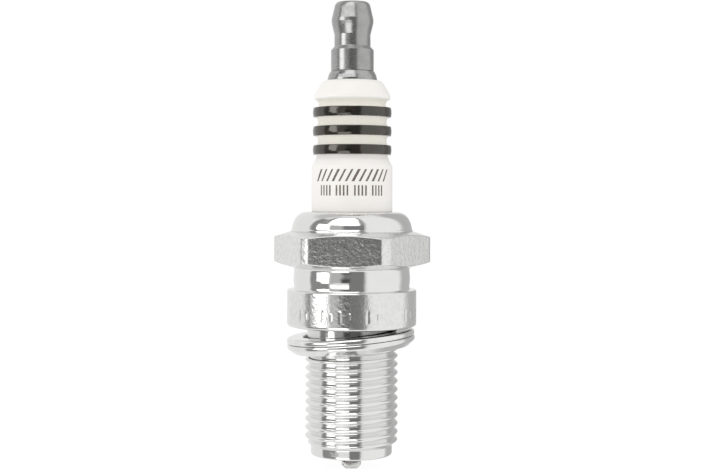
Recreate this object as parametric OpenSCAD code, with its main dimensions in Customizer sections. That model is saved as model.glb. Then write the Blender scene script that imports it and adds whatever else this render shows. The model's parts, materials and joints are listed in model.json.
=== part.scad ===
// Resistor spark plug with a loose folded gasket and a screw-on terminal nut.
// Origin: the plug's axis at the plane of the gasket seat. +Z points to the terminal.
// Every size is in millimetres. One module is one physical piece.

/* [Threaded end] */
// Crest diameter of the shell's thread
thread_d = 13.8; // [13.75:0.05:13.9]
// Diameter at the root of the shell's thread
thread_root_d = 12.35; // [12.2:0.05:12.4]
// Pitch of the shell's thread
thread_pitch = 1.25; // [1.2:0.05:1.3]
// Length from the gasket seat to the end of the shell
reach = 19; // [18:0.5:22]
// Diameter of the plain neck that the gasket hangs on
neck_d = 13.16; // [13.1:0.02:13.2]
// Length of the plain neck
neck_h = 3.1; // [3:0.1:3.4]
// Diameter of the plain lead-in at the shell's end
lead_d = 12.06; // [11.9:0.02:12.1]
// Length of the plain lead-in
lead_h = 1.4; // [1.2:0.1:1.8]

/* [Hexagon and collar] */
// Width across the flats of the hexagon
hex_af = 20.8; // [20.6:0.1:21]
// Diameter that cuts the hexagon's corners
hex_corner_d = 23.3; // [23:0.1:23.6]
// Height of the hexagon
hex_h = 5.43; // [5:0.1:6]
// Turn of the hexagon about the axis, in degrees
hex_turn = -6; // [-30:1:30]
// Diameter of the collar above the gasket
collar_d = 19.2; // [19:0.1:19.6]
// Height of the collar
collar_h = 5.4; // [5:0.1:5.8]
// Diameter of the barrel between the collar and the hexagon
barrel_d = 16.9; // [16.7:0.1:17.1]
// Height of that barrel
barrel_h = 3.23; // [3:0.1:3.8]
// Height of the rolled crimp above the hexagon
crimp_h = 2.79; // [2.7:0.05:3]

/* [Insulator] */
// Diameter of the insulator's printed body
body_d = 12; // [11.9:0.05:12.05]
// Height of that body above the crimp
body_h = 6.75; // [6:0.25:9]
// Diameter over the ribs
rib_d = 11.7; // [11.5:0.1:11.8]
// Distance from rib to rib
rib_pitch = 2.78; // [2.6:0.02:2.9]
// Thickness of each rib
rib_h = 1.42; // [1.3:0.02:1.5]
// Number of ribs
rib_count = 3; // [3:1:4]
// Thickness of the dark glaze fired on the ribs
glaze_t = 0.1; // [0.08:0.01:0.15]
// Diameter of the insulator's bore for the stud, resistor and seals
bore_d = 4.1; // [4:0.05:4.2]
// Length of the bare nose between the inner seat and the tip
nose_h = 6.2; // [5:0.2:8]

/* [Terminal] */
// Diameter of the terminal nut
terminal_d = 6.35; // [6.3:0.05:6.4]
// Height of the terminal nut
terminal_h = 10.3; // [10:0.1:11]
// Crest diameter of the stud's thread
stud_d = 4; // [3.95:0.05:4]
// Pitch of the stud's thread
stud_pitch = 0.7; // [0.65:0.05:0.75]
// Clearance on the radius between the nut and the stud's thread crests
nut_gap = 0.05; // [0.03:0.01:0.08]

/* [Electrodes] */
// Distance between the tip and the ground electrode
spark_gap = 0.65; // [0.5:0.05:0.9]
// Diameter of the precious metal tip
tip_d = 0.6; // [0.5:0.05:0.8]
// Width of the ground electrode
strap_w = 2.9; // [2.6:0.1:3]
// Thickness of the ground electrode
strap_t = 1.25; // [1.1:0.05:1.4]

/* [Gasket] */
// Outer diameter of the gasket
gasket_d = 19.1; // [18.9:0.1:19.3]
// Hole diameter of the gasket, a little under the thread's, so that the thread keeps it on
gasket_hole_d = 13.72; // [13.68:0.01:13.74]
// Thickness of the steel sheet that the gasket is folded from
sheet_t = 0.4; // [0.36:0.02:0.42]
// Gap between the folded layers
sheet_gap = 0.1; // [0.08:0.01:0.12]
// Tilt of the loose gasket at rest, in degrees
gasket_tilt = 4.6; // [3:0.2:4.8]

/* [Hidden] */

$fn = 96;

// Heights of the shell, upwards from the gasket seat
barrel_z = collar_h;
hex_z = barrel_z + barrel_h;
hex_top_z = hex_z + hex_h;
crimp_z = hex_top_z + crimp_h;
crimp_r = 8.93;
crimp_flat_r = 6.85;

// Heights of the threaded end, downwards from the gasket seat
shell_end_z = -reach;
thread_end_z = shell_end_z + lead_h;
thread_top_z = -neck_h;
first_crest_z = thread_top_z - 1.1;
crest_count = floor((first_crest_z - thread_end_z - 0.6) / thread_pitch) + 1;

// Inside of the shell
nose_bore_r = 4.3;
leg_bore_r = 5.2;
head_bore_r = 7.35;
crimp_wall = 0.85;
lip_r = body_d / 2 + 0.1;

// Sloping ledge that carries the insulator through the seat washer
nose_tip_z = shell_end_z + 0.8;
washer_t = 0.4;
ledge_z = nose_tip_z + nose_h - washer_t;
function ledge_at(r) = ledge_z + (r - nose_bore_r) * tan(30);

// Levels of the insulator
head_bottom_z = 3.6;
head_top_z = 10.9;
neck_z = crimp_z + body_h;
first_rib_z = neck_z + 2.44;
function rib_z(i) = first_rib_z + i * rib_pitch;
last_rib_z = rib_z(rib_count - 1);
top_z = last_rib_z + 4.71;
rib_core_r = rib_d / 2 - glaze_t;
groove_depth = 0.65;
top_groove_depth = 0.8;
top_groove_z = top_z - 2.85;

// Packing between the insulator's head and the crimp
packed_r = body_d / 2 - 0.2;
packing_r = (packed_r + head_bore_r) / 2;
wire_r = (head_bore_r - packed_r) / 2 - 0.08;
cavity_top_z = crimp_z - crimp_wall;
upper_ring_z = cavity_top_z - wire_r;
lower_ring_z = head_top_z + wire_r;

// Terminal
nut_z = top_z + 1.39;
nut_top_z = nut_z + terminal_h;
stud_top_z = nut_top_z - 0.8;
stud_r = stud_d / 2;
stud_root_r = stud_r - 0.6 * stud_pitch;
stud_crests = floor((stud_top_z - 1 - nut_z) / stud_pitch);
knurl_r = 1.75;

// Stack inside the insulator's bore, from the bottom up
bore_r = bore_d / 2;
shank_r = bore_r - 0.08;
electrode_r = 1.25;
electrode_bore_r = electrode_r + 0.05;
electrode_head_r = bore_r - 0.15;
head_seat_z = -4.6;
electrode_head_h = 1.4;
electrode_knob_h = 1;
lower_seal_top_z = head_seat_z + 4;
resistor_h = 6;
upper_seal_z = lower_seal_top_z + resistor_h;
upper_seal_h = 4.6;
stud_end_z = upper_seal_z + 1.3;

// Firing end
electrode_end_z = shell_end_z + 0.4;
tip_z = shell_end_z - 0.2;
tip_sunk = 0.5;
core_r = 0.62;
core_end_z = electrode_end_z + 2.4;
strap_face_z = tip_z - spark_gap;
strap_bend_r = 0.55;
strap_inner_y = 4.5;
strap_past = 1.2;

// Gasket: middle line of its lowest layer, measured from the middle fold, and that fold's place at rest
foot_z = -1.35;
foot_slope = 40;
foot_inner_r = 7.3;
gasket_x = -0.12;
gasket_z = -1.9;

// Points of an elliptical arc about (r, z), from angle a to angle b
function arc(r, z, size_r, size_z, a, b, steps = 6) =
    [for (i = [0:steps])
        let (angle = a + (b - a) * i / steps)
        [r + size_r * cos(angle), z + size_z * sin(angle)]];

// Points of a thread's ridges with 60 degree sides, going down from the first crest at z.
// They are rings at the thread's pitch, which stand for the helix.
function ridges(crest_r, root_r, pitch, z, count) =
    let (half_crest = pitch / 14, half_base = half_crest + (crest_r - root_r) * tan(30))
    [for (i = [0:count - 1], corner = [[root_r, half_base], [crest_r, half_crest],
                                       [crest_r, -half_crest], [root_r, -half_base]])
        [corner[0], z - i * pitch + corner[1]]];

// A turned solid from an outline of [radius, height] points
module turned(outline) {
    rotate_extrude() polygon(outline);
}

// A ring of rectangular section
module ring(inner_r, outer_r, z, h) {
    turned([[inner_r, z], [outer_r, z], [outer_r, z + h], [inner_r, z + h]]);
}

// A round rod along the axis
module rod(r, z, h) {
    translate([0, 0, z]) cylinder(r = r, h = h);
}

// A closed ring of round wire
module wire_ring(r, z) {
    translate([0, 0, z]) rotate_extrude() translate([r, 0]) circle(r = wire_r, $fn = 48);
}

// ---- Steel shell ----

module shell() {
    color("#c9c8c4") difference() {
        union() {
            shell_body();
            shell_hexagon();
        }
        shell_inside();
    }
}

module shell_body() {
    edge = 0.4;
    lead_round = 0.25;
    bulge = 0.22;
    bulge_steps = 6;
    collar_r = collar_d / 2;
    barrel_r = barrel_d / 2;
    lead_r = lead_d / 2;
    root_r = thread_root_d / 2;
    turned(concat(
        [[0, crimp_z]],
        arc(crimp_flat_r, hex_top_z, crimp_r - crimp_flat_r, crimp_h, 90, 0, 8),
        [[crimp_r, hex_z]],
        [for (i = [0:bulge_steps])
            [barrel_r + bulge * sin(180 * i / bulge_steps), hex_z - barrel_h * i / bulge_steps]],
        [[collar_r - edge / 2, barrel_z], [collar_r, barrel_z - edge / 2]],
        arc(collar_r - edge, edge, edge, edge, 0, -90, 4),
        [[neck_d / 2, 0], [neck_d / 2, thread_top_z], [root_r, thread_top_z - 0.25]],
        ridges(thread_d / 2, root_r, thread_pitch, first_crest_z, crest_count),
        [[root_r, thread_end_z + 0.15], [lead_r, thread_end_z]],
        arc(lead_r - lead_round, shell_end_z + lead_round, lead_round, lead_round, 0, -90, 4),
        [[0, shell_end_z]]));
}

module shell_hexagon() {
    chamfer_h = 0.87;
    corner_r = hex_corner_d / 2;
    intersection() {
        translate([0, 0, hex_z])
            rotate([0, 0, hex_turn])
                cylinder(d = hex_af / cos(30), h = hex_h, $fn = 6);
        turned([[0, hex_z], [crimp_r - 0.3, hex_z], [corner_r, hex_z + chamfer_h],
                [corner_r, hex_top_z - chamfer_h], [crimp_r, hex_top_z], [0, hex_top_z]]);
    }
}

module shell_inside() {
    turned([[0, shell_end_z - 1], [nose_bore_r, shell_end_z - 1],
            [nose_bore_r, ledge_at(nose_bore_r)], [leg_bore_r, ledge_at(leg_bore_r)],
            [leg_bore_r, head_bottom_z - 1.6], [head_bore_r, head_bottom_z - 0.3],
            [head_bore_r, cavity_top_z], [lip_r, cavity_top_z], [lip_r, crimp_z + 1],
            [0, crimp_z + 1]]);
}

// ---- Gasket: one sheet folded into four layers by two outer bends and one inner ----

module gasket() {
    color("#dcdbd8")
        translate([gasket_x, 0, gasket_z])
            rotate([0, -gasket_tilt, 0])
                rotate_extrude() gasket_section();
}

// The sheet's middle line, from the end of the top layer to the end of the foot
module gasket_section() {
    layer = sheet_t + sheet_gap;
    bend = layer / 2;
    hole_r = gasket_hole_d / 2;
    outer_x = gasket_d / 2 - bend - sheet_t / 2;
    inner_x = hole_r + bend + sheet_t / 2;
    leave = [outer_x + bend * sin(foot_slope), -layer - bend * cos(foot_slope)];
    landing_x = leave[0] - (leave[1] - foot_z) / tan(foot_slope);
    bent_sheet(concat(
        [[hole_r + 0.2, 1.5 * layer]],
        arc(outer_x, layer, bend, bend, 90, -90, 12),
        arc(inner_x, 0, bend, bend, 90, 270, 12),
        arc(outer_x, -layer, bend, bend, 90, foot_slope - 90, 9),
        [[landing_x, foot_z], [foot_inner_r, foot_z]]));
}

// Section of a sheet whose middle line follows path
module bent_sheet(path) {
    last = len(path) - 1;
    side = [for (i = [0:last])
        let (run = path[min(i + 1, last)] - path[max(i - 1, 0)])
        [-run[1], run[0]] / norm(run) * sheet_t / 2];
    polygon(concat([for (i = [0:last]) path[i] + side[i]],
                   [for (i = [last:-1:0]) path[i] - side[i]]));
}

// ---- Ground electrode: a strap with a rounded back, welded to the shell's end ----

module ground_electrode() {
    color("#8f8a80") {
        translate([0, strap_inner_y - strap_bend_r, strap_face_z])
            rotate([90, 0, 0])
                linear_extrude(strap_inner_y - strap_bend_r + strap_past) strap_section();
        translate([0, strap_inner_y - strap_bend_r, strap_face_z + strap_bend_r])
            rotate([0, -90, 0])
                rotate([0, 0, 90])
                    rotate_extrude(angle = 90)
                        translate([strap_bend_r, 0]) rotate(90) strap_section();
        translate([0, strap_inner_y, strap_face_z + strap_bend_r])
            linear_extrude(shell_end_z - strap_face_z - strap_bend_r)
                rotate(180) strap_section();
    }
}

module strap_section() {
    intersection() {
        translate([-strap_w / 2, -strap_t]) square([strap_w, strap_t]);
        translate([0, -0.13]) circle(r = strap_w / 2 + 0.02, $fn = 64);
    }
}

// ---- Insulator ----

module insulator() {
    color("#eeece4") difference() {
        turned(concat(insulator_top(), insulator_ribs(), insulator_foot()));
        turned([[0, top_z + 1], [bore_r, top_z + 1], [bore_r, head_seat_z],
                [electrode_bore_r, head_seat_z], [electrode_bore_r, nose_tip_z - 1],
                [0, nose_tip_z - 1]]);
    }
}

// Top face, rounded corner, slope and the band above the ribs
function insulator_top() =
    let (round = 0.7, face_r = 4, band_r = 5.67)
    concat([[0, top_z]],
           arc(face_r, top_z - round, round, round, 90, 25, 4),
           [[band_r, top_z - 2.25], [band_r, top_groove_z]]);

// Ribs from the top down, with a hollow above each one
function insulator_ribs() =
    [for (i = [rib_count - 1:-1:0])
        let (low = i == rib_count - 1 ? last_rib_z + rib_h / 2 : rib_z(i) + rib_h / 2,
             high = i == rib_count - 1 ? top_groove_z : rib_z(i + 1) - rib_h / 2,
             depth = i == rib_count - 1 ? top_groove_depth : groove_depth)
        each concat(arc(rib_core_r, (low + high) / 2, -depth, (high - low) / 2, 90, -90, 8),
                    [[rib_core_r, rib_z(i) - rib_h / 2]])];

// Flare to the printed body, hidden head and leg, seat and nose
function insulator_foot() =
    let (body_r = body_d / 2, head_r = head_bore_r - 0.15, leg_r = leg_bore_r - 0.15,
         step_r = nose_bore_r - 0.15, nose_r = 3.7, tip_r = 2.35, tip_round = 0.25)
    concat([[rib_core_r - 0.45, first_rib_z - rib_h / 2 - 0.4], [body_r, neck_z],
            [body_r, crimp_z], [packed_r, crimp_z], [packed_r, head_top_z],
            [head_r - 0.4, head_top_z], [head_r, head_top_z - 0.5],
            [head_r, head_bottom_z + 0.2], [leg_r, head_bottom_z - 1.3],
            [leg_r, ledge_at(leg_r) + washer_t], [step_r, ledge_at(step_r) + washer_t],
            [nose_r, ledge_at(step_r) + washer_t - 0.3]],
           arc(tip_r - tip_round, nose_tip_z + tip_round, tip_round, tip_round, 0, -90, 4),
           [[0, nose_tip_z]]);

// Dark glaze fired on each rib
module rib_glaze() {
    color("#1c211c") for (i = [0:rib_count - 1])
        ring(rib_core_r, rib_d / 2, rib_z(i) - rib_h / 2, rib_h);
}

// ---- Terminal ----

module terminal_stud() {
    flange_r = 3.68;
    shoulder_r = 0.5;
    shoulder_h = 0.75;
    knurl_top_z = upper_seal_z + upper_seal_h;
    knurl_pitch = 0.6;
    knurl_depth = 0.15;
    color("#8a8f94") turned(concat(
        [[0, stud_top_z], [stud_r - 0.4, stud_top_z], [stud_r, stud_top_z - 0.4]],
        ridges(stud_r, stud_root_r, stud_pitch, stud_top_z - 1, stud_crests),
        [[stud_root_r, nut_z], [flange_r - shoulder_r, nut_z]],
        arc(flange_r - shoulder_r, nut_z - shoulder_h, shoulder_r, shoulder_h, 75, 0, 4),
        [[flange_r, top_z], [shank_r, top_z], [shank_r, knurl_top_z], [knurl_r, knurl_top_z]],
        [for (z = [knurl_top_z - knurl_pitch:-knurl_pitch:stud_end_z + knurl_pitch])
            each [[knurl_r, z], [knurl_r - knurl_depth, z - knurl_pitch / 2]]],
        [[knurl_r, stud_end_z + 0.2], [knurl_r - 0.2, stud_end_z], [0, stud_end_z]]));
}

// Clip-shaped nut: rounded crown, belly, waist and cylindrical foot
module terminal_nut() {
    nut_r = terminal_d / 2;
    waist_r = nut_r - 0.5;
    belly_r = nut_r - 0.06;
    hole_r = stud_r + nut_gap;
    edge = 0.2;
    foot_top_z = nut_z + 3.1;
    waist_z = foot_top_z + 0.95;
    belly_z = nut_top_z - 2.95;
    crown_r = 0.6;
    crown_h = 0.9;
    color("#7d8389") turned(concat(
        [[hole_r, nut_z + edge], [hole_r + edge, nut_z], [nut_r - 0.12, nut_z],
         [nut_r, nut_z + 0.12], [nut_r, foot_top_z]],
        arc(waist_r + edge, waist_z, -edge, 2 * edge, -60, 0, 4),
        [[waist_r, belly_z - 1.95], [waist_r + 0.08, belly_z - 1.5], [belly_r - 0.09, belly_z - 0.6],
         [belly_r - 0.03, belly_z - 0.3], [belly_r, belly_z], [belly_r - 0.02, belly_z + 0.5]],
        arc(nut_r - 1, nut_top_z - crown_h, crown_r, crown_h, 15, 80),
        [[hole_r + edge, nut_top_z], [hole_r, nut_top_z - edge]]));
}

// ---- Stack inside the insulator's bore ----

// Conductive glass around the stud's rough end
module upper_glass_seal() {
    color("#4e5b58") difference() {
        rod(bore_r, upper_seal_z, upper_seal_h);
        rod(knurl_r, stud_end_z, upper_seal_h);
    }
}

module resistor() {
    color("#2e2c2b") rod(bore_r, lower_seal_top_z, resistor_h);
}

// Conductive glass around the centre electrode's head
module lower_glass_seal() {
    color("#4e5b58") difference() {
        rod(bore_r, head_seat_z, lower_seal_top_z - head_seat_z);
        rod(electrode_head_r, head_seat_z - 1, electrode_head_h + 1);
        rod(electrode_r, head_seat_z, electrode_head_h + electrode_knob_h);
    }
}

// ---- Centre electrode: nickel alloy sheath, copper core and welded tip ----

module center_electrode() {
    knob_top_z = head_seat_z + electrode_head_h + electrode_knob_h;
    color("#a29d92") difference() {
        turned([[0, knob_top_z], [electrode_r - 0.1, knob_top_z], [electrode_r, knob_top_z - 0.1],
                [electrode_r, head_seat_z + electrode_head_h],
                [electrode_head_r, head_seat_z + electrode_head_h],
                [electrode_head_r, head_seat_z], [electrode_r, head_seat_z],
                [electrode_r, electrode_end_z + 0.35], [tip_d / 2 + 0.2, electrode_end_z],
                [0, electrode_end_z]]);
        rod(core_r, core_end_z, knob_top_z - core_end_z + 1);
        rod(tip_d / 2, electrode_end_z - 1, 1 + tip_sunk);
    }
}

module copper_core() {
    color("#b8734a")
        rod(core_r, core_end_z, head_seat_z + electrode_head_h + electrode_knob_h - core_end_z);
}

module iridium_tip() {
    color("#cfd0d2") rod(tip_d / 2, tip_z, electrode_end_z + tip_sunk - tip_z);
}

// ---- Seals between the insulator and the shell ----

// Soft washer on the shell's sloping inner ledge
module seat_washer() {
    inner = nose_bore_r + 0.15;
    outer = leg_bore_r - 0.05;
    color("#b5a27a")
        turned([[inner, ledge_at(inner)], [outer, ledge_at(outer)],
                [outer, ledge_at(outer) + washer_t], [inner, ledge_at(inner) + washer_t]]);
}

module lower_packing_ring() {
    color("#b9b9b4") wire_ring(packing_r, lower_ring_z);
}

module talc_filling() {
    color("#e3ddcf")
        ring(packed_r, head_bore_r, lower_ring_z + wire_r,
             upper_ring_z - lower_ring_z - 2 * wire_r);
}

module upper_packing_ring() {
    color("#b9b9b4") wire_ring(packing_r, upper_ring_z);
}

shell();
gasket();
ground_electrode();
insulator();
rib_glaze();
terminal_stud();
terminal_nut();
upper_glass_seal();
resistor();
lower_glass_seal();
center_electrode();
copper_core();
iridium_tip();
seat_washer();
lower_packing_ring();
talc_filling();
upper_packing_ring();
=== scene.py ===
"""The looks of a spark plug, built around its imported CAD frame.

Every length in this script is in millimetres until put() turns a mesh into metres. Heights are
measured from the gasket seat, as in the CAD. A turned piece starts as an outline of (radius, height)
points, which spin() turns round the axis. Functions of the angle then cut the hexagon and the threads.
"""

import json
import math
import random

import bpy
import numpy as np
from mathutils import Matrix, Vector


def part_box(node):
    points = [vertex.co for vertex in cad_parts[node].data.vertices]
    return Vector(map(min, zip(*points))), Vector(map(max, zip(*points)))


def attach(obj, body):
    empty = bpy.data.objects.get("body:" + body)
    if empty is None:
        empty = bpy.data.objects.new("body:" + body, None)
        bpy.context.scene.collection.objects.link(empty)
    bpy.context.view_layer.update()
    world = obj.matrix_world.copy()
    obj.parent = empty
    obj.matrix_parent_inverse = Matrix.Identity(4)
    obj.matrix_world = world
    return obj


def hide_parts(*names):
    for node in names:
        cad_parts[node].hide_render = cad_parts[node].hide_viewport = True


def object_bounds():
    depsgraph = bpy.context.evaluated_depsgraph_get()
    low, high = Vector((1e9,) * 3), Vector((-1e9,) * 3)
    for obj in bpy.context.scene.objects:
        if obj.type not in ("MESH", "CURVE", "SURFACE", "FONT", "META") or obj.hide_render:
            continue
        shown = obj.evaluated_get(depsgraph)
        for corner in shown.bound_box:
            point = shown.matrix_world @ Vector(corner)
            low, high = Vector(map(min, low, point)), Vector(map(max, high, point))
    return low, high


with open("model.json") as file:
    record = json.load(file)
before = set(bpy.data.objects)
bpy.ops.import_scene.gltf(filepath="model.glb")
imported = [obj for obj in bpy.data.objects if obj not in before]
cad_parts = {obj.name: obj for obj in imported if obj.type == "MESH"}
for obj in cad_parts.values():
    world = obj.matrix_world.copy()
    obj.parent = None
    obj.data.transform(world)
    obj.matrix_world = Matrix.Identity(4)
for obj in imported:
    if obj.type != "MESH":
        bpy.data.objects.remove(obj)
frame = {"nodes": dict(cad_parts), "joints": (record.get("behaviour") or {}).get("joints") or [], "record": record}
cad_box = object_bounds()

MM = 0.001
TURN = 2 * math.pi
mounts = {mount["name"]: mount for mount in frame["record"]["mounts"]}


def box_mm(node):
    """Lowest and highest corner of a CAD node, in millimetres."""
    low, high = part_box(node)
    return np.array(low) / MM, np.array(high) / MM


# ---- Sizes shared by several pieces, from the frame ----

shell_low, shell_high = box_mm("shell")
SHELL_END = shell_low[2]
CRIMP_TOP = shell_high[2]
HEX_CORNER_R = shell_high[0]
THREAD_R = mounts["thread"]["dims"]["r_mm"]
BODY_R = mounts["insulator_body"]["dims"]["r_mm"]
NUT_R = mounts["terminal"]["dims"]["r_mm"]
INSULATOR_TOP = box_mm("insulator")[1][2]
NOSE_TIP = box_mm("insulator")[0][2]
BODY_TOP = mounts["insulator_body"]["pos_m"][2] / MM + mounts["insulator_body"]["dims"]["length_mm"] / 2
GASKET_TILT = next(j for j in frame["joints"] if j["name"] == "gasket_tilt")["range_deg"][1]
ROUND_COLUMNS = 240


# ---- Mesh tools ----


def rounded(corners, steps=5, closed=False):
    """Outline points in which each corner (radius, height, fillet) becomes an arc.

    A corner without a fillet stays sharp, and so do the ends of an outline that isn't closed.
    """
    points = []
    for i, corner in enumerate(corners):
        here = np.array(corner[:2], float)
        at_end = not closed and i in (0, len(corners) - 1)
        if at_end or len(corner) < 3:
            points.append(here)
            continue
        back = np.array(corners[i - 1][:2], float) - here
        ahead = np.array(corners[(i + 1) % len(corners)][:2], float) - here
        longest = 0.48 * min(np.linalg.norm(back), np.linalg.norm(ahead))
        back /= np.linalg.norm(back)
        ahead /= np.linalg.norm(ahead)
        half = math.acos(np.clip(back @ ahead, -1, 1)) / 2
        reach = min(corner[2] / math.tan(half), longest)
        middle = here + (back + ahead) / np.linalg.norm(back + ahead) * reach / math.cos(half)
        first = here + back * reach - middle
        last = here + ahead * reach - middle
        start = math.atan2(first[1], first[0])
        sweep = (math.atan2(last[1], last[0]) - start + math.pi) % TURN - math.pi
        for share in np.linspace(0, 1, steps + 1):
            angle = start + sweep * share
            size = np.linalg.norm(first)
            points.append(middle + size * np.array([math.cos(angle), math.sin(angle)]))
    return np.array(points)


def arc(r, z, size_r, size_z, start, end, steps=8):
    """Points of an elliptical arc about (r, z), angles in degrees."""
    angles = np.radians(np.linspace(start, end, steps + 1))
    return np.column_stack([r + size_r * np.cos(angles), z + size_z * np.sin(angles)])


def dense(points, step, closed=False):
    """The same outline with points added so that no stretch is longer than step."""
    points = np.asarray(points, float)
    after = np.roll(points, -1, axis=0) if closed else points[1:]
    result = []
    for here, there in zip(points, after):
        count = max(1, math.ceil(np.linalg.norm(there - here) / step))
        for share in np.arange(count) / count:
            result.append(here + (there - here) * share)
    if not closed:
        result.append(points[-1])
    return np.array(result)


def thick_line(path, half):
    """Closed outline of a sheet whose middle follows path, with rounded ends."""
    path = np.asarray(path, float)
    ahead = np.gradient(path, axis=0)
    ahead /= np.linalg.norm(ahead, axis=1)[:, None]
    side = np.column_stack([-ahead[:, 1], ahead[:, 0]]) * half
    nose = [path[-1] + side[-1] * math.cos(a) + ahead[-1] * half * math.sin(a) for a in (0.6, 1.57, 2.54)]
    tail = [path[0] - side[0] * math.cos(a) - ahead[0] * half * math.sin(a) for a in (0.6, 1.57, 2.54)]
    return np.concatenate([path + side, nose, (path - side)[::-1], tail])


def put(name, corners, faces, material, body, nodes=(), marks=None):
    """Makes the mesh object, in metres, and lets it ride on its CAD body in place of its nodes."""
    mesh = bpy.data.meshes.new(name)
    mesh.from_pydata((np.asarray(corners) * MM).tolist(), [], faces)
    mesh.polygons.foreach_set("use_smooth", [True] * len(mesh.polygons))
    for label, values in (marks or {}).items():
        attribute = mesh.attributes.new(label, "FLOAT", "POINT")
        attribute.data.foreach_set("value", np.asarray(values, np.float32))
    mesh.materials.append(material)
    mesh.update()
    obj = bpy.data.objects.new(name, mesh)
    bpy.context.scene.collection.objects.link(obj)
    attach(obj, body)
    if nodes:
        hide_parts(*nodes)


def spin(outline, columns, closed, change=None):
    """Corners and faces of an outline spun round the axis.

    The outline runs anticlockwise, with radius to the right and height up. change(radius, height,
    angle) may move the points. An outline that isn't closed starts and ends on the axis.
    """
    outline = np.asarray(outline, float)
    ring = outline if closed else outline[1:-1]
    angle = np.arange(columns) / columns * TURN
    r, a = np.broadcast_arrays(ring[:, :1], angle[None, :])
    z = np.repeat(ring[:, 1:], columns, axis=1)
    if change:
        r, z = change(r.copy(), z, a)
    corners = np.stack([r * np.cos(a), r * np.sin(a), z], axis=-1).reshape(-1, 3)
    rows = len(ring)
    index = np.arange(rows * columns).reshape(rows, columns)
    low = index if closed else index[:-1]
    high = np.roll(index, -1, axis=0) if closed else index[1:]
    faces = np.stack([low, np.roll(low, -1, 1), np.roll(high, -1, 1), high], axis=-1)
    faces = faces.reshape(-1, 4).tolist()
    if not closed:
        first, last = len(corners), len(corners) + 1
        corners = np.vstack([corners, [0, 0, outline[0, 1]], [0, 0, outline[-1, 1]]])
        for j in range(columns):
            k = (j + 1) % columns
            faces.append([first, index[0, k], index[0, j]])
            faces.append([last, index[-1, j], index[-1, k]])
    return corners, faces


def smooth_min(a, b, blend):
    """The lesser of a and b, rounded over where they meet."""
    overlap = np.maximum(blend - np.abs(a - b), 0)
    return np.minimum(a, b) - overlap**2 / (4 * blend)


def smooth_step(x, low, high):
    """0 below low, 1 above high, and a smooth turn between them."""
    t = np.clip((x - low) / (high - low), 0, 1)
    return t * t * (3 - 2 * t)


def helix(z, angle, first_crest, pitch, crest_r, root_r):
    """Radius of a rolled right-hand thread at height z, with sides at 60 degrees to each other.

    The crests are wide and well rounded. The roots are narrow and a little rounded.
    """
    crest_share, crest_round, root_round = 0.8, 0.9, 0.3
    turns = (z - first_crest) / pitch - angle / TURN
    away = np.abs(turns - np.round(turns)) * pitch
    flank = (crest_r - root_r) * math.tan(math.radians(30))
    half_crest = crest_share * (pitch / 2 - flank)
    height = 1 - (away - half_crest) / flank
    height = smooth_min(height, 1.0, crest_round)
    height = -smooth_min(-height, 0.0, root_round)
    return root_r + (crest_r - root_r) * np.clip(height, 0, 1)


# ---- Shader tools ----


class Nodes:
    """A node tree and the nodes that are added to it. Sockets and plain values can both be inputs."""

    def __init__(self, tree):
        self.tree = tree

    def node(self, kind, **settings):
        made = self.tree.nodes.new(kind)
        for key, value in settings.items():
            setattr(made, key, value)
        return made

    def feed(self, socket, value):
        if isinstance(value, bpy.types.NodeSocket):
            self.tree.links.new(value, socket)
        else:
            socket.default_value = value

    def math(self, operation, a, b=0.0, clamp=False):
        made = self.node("ShaderNodeMath", operation=operation, use_clamp=clamp)
        self.feed(made.inputs[0], a)
        self.feed(made.inputs[1], b)
        return made.outputs[0]

    def vector(self, operation, a, b=None, scale=None):
        made = self.node("ShaderNodeVectorMath", operation=operation)
        self.feed(made.inputs[0], a)
        if b is not None:
            self.feed(made.inputs[1], b)
        if scale is not None:
            self.feed(made.inputs["Scale"], scale)
        return made.outputs[0]

    def split(self, where):
        made = self.node("ShaderNodeSeparateXYZ")
        self.feed(made.inputs[0], where)
        return made.outputs

    def join(self, x, y, z):
        made = self.node("ShaderNodeCombineXYZ")
        for socket, value in zip(made.inputs, (x, y, z)):
            self.feed(socket, value)
        return made.outputs[0]

    def curve(self, value, low, high, to_low=0.0, to_high=1.0):
        """Maps low..high of a value smoothly to to_low..to_high."""
        made = self.node("ShaderNodeMapRange", clamp=True)
        made.interpolation_type = "SMOOTHSTEP"
        for socket, number in zip(made.inputs, (value, low, high, to_low, to_high)):
            self.feed(socket, number)
        return made.outputs[0]


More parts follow.
